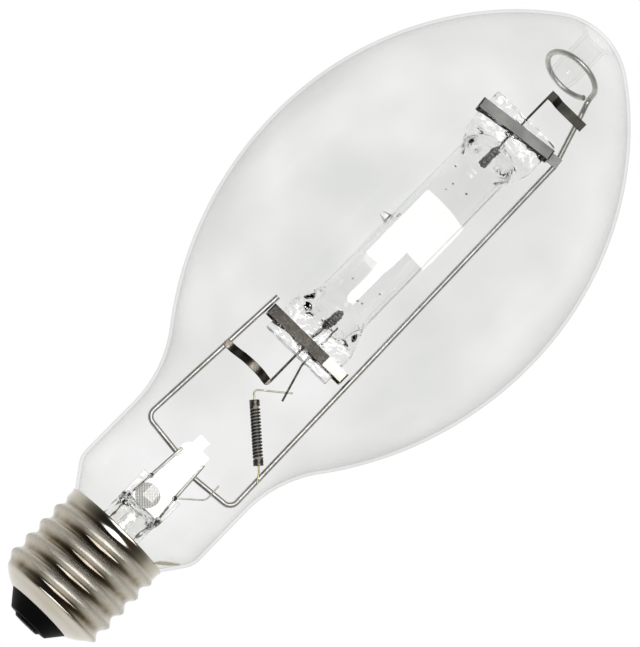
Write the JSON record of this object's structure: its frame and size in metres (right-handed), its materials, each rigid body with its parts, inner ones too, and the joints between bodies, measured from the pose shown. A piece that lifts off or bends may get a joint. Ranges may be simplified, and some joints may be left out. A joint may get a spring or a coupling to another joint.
{
  "type": "clear mercury vapour discharge lamp",
  "caption": "Clear elliptical discharge lamp with a mogul screw base and a quartz arc tube strapped to a wire frame inside.",
  "frame": {"origin": "middle of the centre contact's flat face, the lowest point of the lamp standing on its base", "axes": "+Z along the lamp towards the dome, +X towards the long frame wire, -Y facing the broad sides of the arc tube's pinches"},
  "size_m": [0.1172, 0.1172, 0.2695],
  "materials": {
    "bulb_glass": "gloss",
    "stem_glass": "gloss",
    "quartz": "gloss",
    "plated_shell": "satin",
    "contact_brass": "satin",
    "black_glass": "gloss",
    "cement": "matte",
    "solder": "satin",
    "nickel_wire": "satin",
    "nickel_strip": "satin",
    "dark_lead": "satin",
    "tungsten": "satin",
    "molybdenum_foil": "satin",
    "resistor_ceramic": "matte",
    "resistor_wire": "satin",
    "resistor_cap_metal": "satin"
  },
  "bodies": {
    "root": {"bulb_envelope": "bulb_glass", "glass_stem": "stem_glass", "screw_shell": "plated_shell", "base_insulator": "black_glass", "centre_contact": "contact_brass", "side_solder": "solder", "basing_cement": "cement", "left_outer_lead": "dark_lead", "right_outer_lead": "dark_lead", "left_seal_wire": "dark_lead", "right_seal_wire": "dark_lead", "left_lead_rod": "nickel_wire", "right_lead_rod": "nickel_wire", "short_frame_wire": "nickel_wire", "long_frame_wire": "nickel_wire", "stem_jumper": "dark_lead", "lower_strap": "nickel_strip", "upper_strap": "nickel_strip", "arc_tube": "quartz", "lower_electrode_rod": "tungsten", "lower_electrode_coil": "tungsten", "upper_electrode_rod": "tungsten", "upper_electrode_coil": "tungsten", "starting_probe": "tungsten", "lower_foil": "molybdenum_foil", "upper_foil": "molybdenum_foil", "starter_foil": "molybdenum_foil", "lower_lead": "dark_lead", "upper_lead": "dark_lead", "starter_lead": "dark_lead", "lower_ribbon": "nickel_strip", "upper_flag": "nickel_strip", "resistor_core": "resistor_ceramic", "resistor_winding": "resistor_wire", "resistor_top_cap": "resistor_cap_metal", "resistor_bottom_cap": "resistor_cap_metal", "resistor_top_lead": "dark_lead", "resistor_bottom_lead": "dark_lead"}
  },
  "joints": []
}
